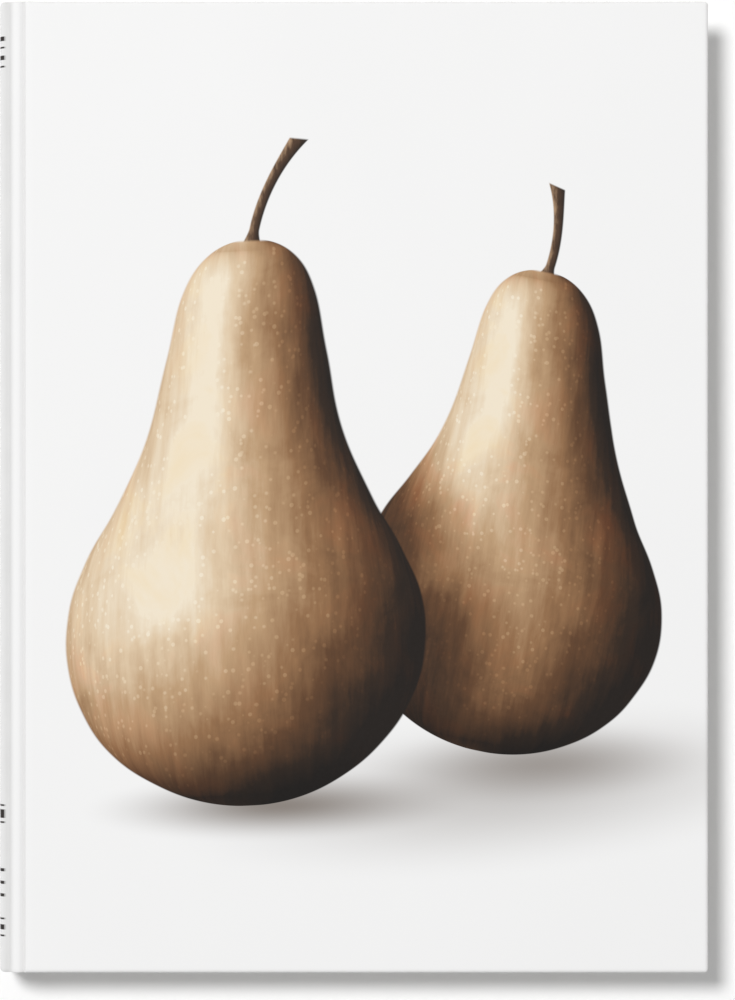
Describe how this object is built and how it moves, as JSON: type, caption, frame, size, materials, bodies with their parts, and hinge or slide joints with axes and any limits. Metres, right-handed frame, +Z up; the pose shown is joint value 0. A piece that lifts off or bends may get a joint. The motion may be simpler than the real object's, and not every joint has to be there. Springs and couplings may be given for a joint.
{
  "type": "hardback book",
  "caption": "Closed hardback book with paper-covered boards, rounded spine, joint grooves and sewn text block; both covers swing open about their joints.",
  "frame": {"origin": "middle of the underside, with the book closed and lying on its back cover", "axes": "+Z up out of the front cover, +Y towards the head of the book, -X towards the spine"},
  "size_m": [0.2084, 0.285, 0.028],
  "materials": {
    "front_cover_paper": "matt laminated cover paper, near white, with a printed still life",
    "back_cover_paper": "matt laminated cover paper, near white",
    "spine_paper": "matt laminated cover paper, near white, with plain dark rules",
    "greyboard": "raw greyboard",
    "endpaper": "uncoated endpaper",
    "leaf_paper": "matt coated book paper",
    "lining_paper": "spine lining paper over mull",
    "headband_cloth": "woven headband"
  },
  "bodies": {
    "text_block": {"spine_wrap": "spine_paper", "spine_board": "greyboard", "spine_lining": "lining_paper", "headband": "headband_cloth", "tailband": "headband_cloth", "front_flyleaf": "endpaper", "back_flyleaf": "endpaper", "section_01": "leaf_paper", "section_02": "leaf_paper", "section_03": "leaf_paper", "section_04": "leaf_paper", "section_05": "leaf_paper", "section_06": "leaf_paper", "section_07": "leaf_paper", "section_08": "leaf_paper", "section_09": "leaf_paper", "section_10": "leaf_paper", "section_11": "leaf_paper", "section_12": "leaf_paper", "section_13": "leaf_paper", "section_14": "leaf_paper", "section_15": "leaf_paper", "section_16": "leaf_paper"},
    "front_cover": {"front_wrap": "front_cover_paper", "front_board": "greyboard", "front_pastedown": "endpaper"},
    "back_cover": {"back_wrap": "back_cover_paper", "back_board": "greyboard", "back_pastedown": "endpaper"}
  },
  "joints": [
    {"name": "front_cover_joint", "type": "hinge", "parent": "text_block", "child": "front_cover", "pos_m": [-0.0965, 0, 0.028], "axis": [0, -1, 0], "range_deg": [0, 180]},
    {"name": "back_cover_joint", "type": "hinge", "parent": "text_block", "child": "back_cover", "pos_m": [-0.0965, 0, 0], "axis": [0, 1, 0], "range_deg": [0, 180]}
  ]
}
